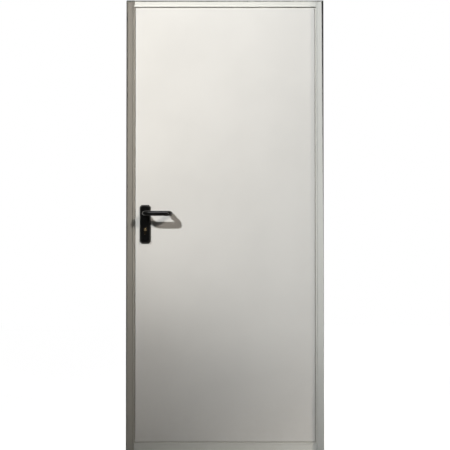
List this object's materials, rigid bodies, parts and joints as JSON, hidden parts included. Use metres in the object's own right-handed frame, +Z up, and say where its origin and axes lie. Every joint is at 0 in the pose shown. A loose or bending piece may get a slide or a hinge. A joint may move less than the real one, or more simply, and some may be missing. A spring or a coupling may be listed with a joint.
{
  "type": "steel utility door",
  "caption": "Single-leaf steel utility door, smooth insulated leaf in a narrow beaded steel frame, with black long-plate lever handles, cylinder lock and rear knuckle hinges.",
  "frame": {"origin": "on the flat underside of the sill, at the middle of the frame's width and of its depth from bead to back", "axes": "+X across the door towards the hinges, +Y from the push side to the pull side where the leaf opens, +Z up"},
  "size_m": [0.9, 0.197, 2.05],
  "materials": {
    "frame_paint": "warm light grey powder coat, fine satin texture",
    "leaf_paint": "warm light grey powder coat, fine satin texture",
    "hinge_paint": "light grey powder coat",
    "seal_rubber": "black extruded rubber",
    "edge_strip": "light grey soft edge strip, matt",
    "core_wool": "yellow mineral wool",
    "core_sheet": "thin galvanised sheet",
    "handle_plastic": "black satin plastic",
    "cylinder_brass": "satin brass",
    "lock_steel": "galvanised steel",
    "pin_steel": "zinc-plated steel",
    "cap_plastic": "light grey plastic",
    "washer_plastic": "black nylon"
  },
  "bodies": {
    "frame": {"edge_strip_head": "edge_strip", "edge_strip_hinge_side": "edge_strip", "edge_strip_lock_side": "edge_strip", "edge_strip_sill": "edge_strip", "gasket_head": "seal_rubber", "gasket_hinge_side": "seal_rubber", "gasket_lock_side": "seal_rubber", "head_member": "frame_paint", "hinge_jamb": "frame_paint", "hinge_jamb_bottom_cap": "cap_plastic", "hinge_jamb_lower_cap": "cap_plastic", "hinge_jamb_top_cap": "cap_plastic", "hinge_jamb_upper_cap": "cap_plastic", "lock_jamb": "frame_paint", "lock_jamb_bottom_cap": "cap_plastic", "lock_jamb_lower_cap": "cap_plastic", "lock_jamb_top_cap": "cap_plastic", "lock_jamb_upper_cap": "cap_plastic", "lower_hinge_frame_half": "hinge_paint", "lower_hinge_high_washer": "washer_plastic", "lower_hinge_low_washer": "washer_plastic", "lower_hinge_pin": "pin_steel", "sill_member": "frame_paint", "strike_plate": "lock_steel", "upper_hinge_frame_half": "hinge_paint", "upper_hinge_high_washer": "washer_plastic", "upper_hinge_low_washer": "washer_plastic", "upper_hinge_pin": "pin_steel"},
    "leaf": {"back_plate": "handle_plastic", "core_back": "core_wool", "core_front": "core_wool", "core_middle_sheet": "core_sheet", "dead_bolt": "lock_steel", "front_plate": "handle_plastic", "latch_bolt": "lock_steel", "leaf_back_skin": "leaf_paint", "leaf_bottom_seal": "seal_rubber", "leaf_front_skin": "leaf_paint", "lock_case": "lock_steel", "lock_faceplate": "lock_steel", "lower_hinge_leaf_half": "hinge_paint", "profile_cylinder": "cylinder_brass", "upper_hinge_leaf_half": "hinge_paint"},
    "lever_set": {"front_lever": "handle_plastic", "back_lever": "handle_plastic", "spindle": "lock_steel"}
  },
  "joints": [
    {"name": "leaf_swing", "type": "hinge", "parent": "frame", "child": "leaf", "pos_m": [0.4395, 0.04, 1], "axis": [0, 0, -1], "range_deg": [0, 170]},
    {"name": "lever_turn", "type": "hinge", "parent": "leaf", "child": "lever_set", "pos_m": [-0.363, 0, 1.0755], "axis": [0, 1, 0], "range_deg": [0, 40], "stiffness_Nm_per_rad": 1.5, "springref_deg": -17.19}
  ]
}
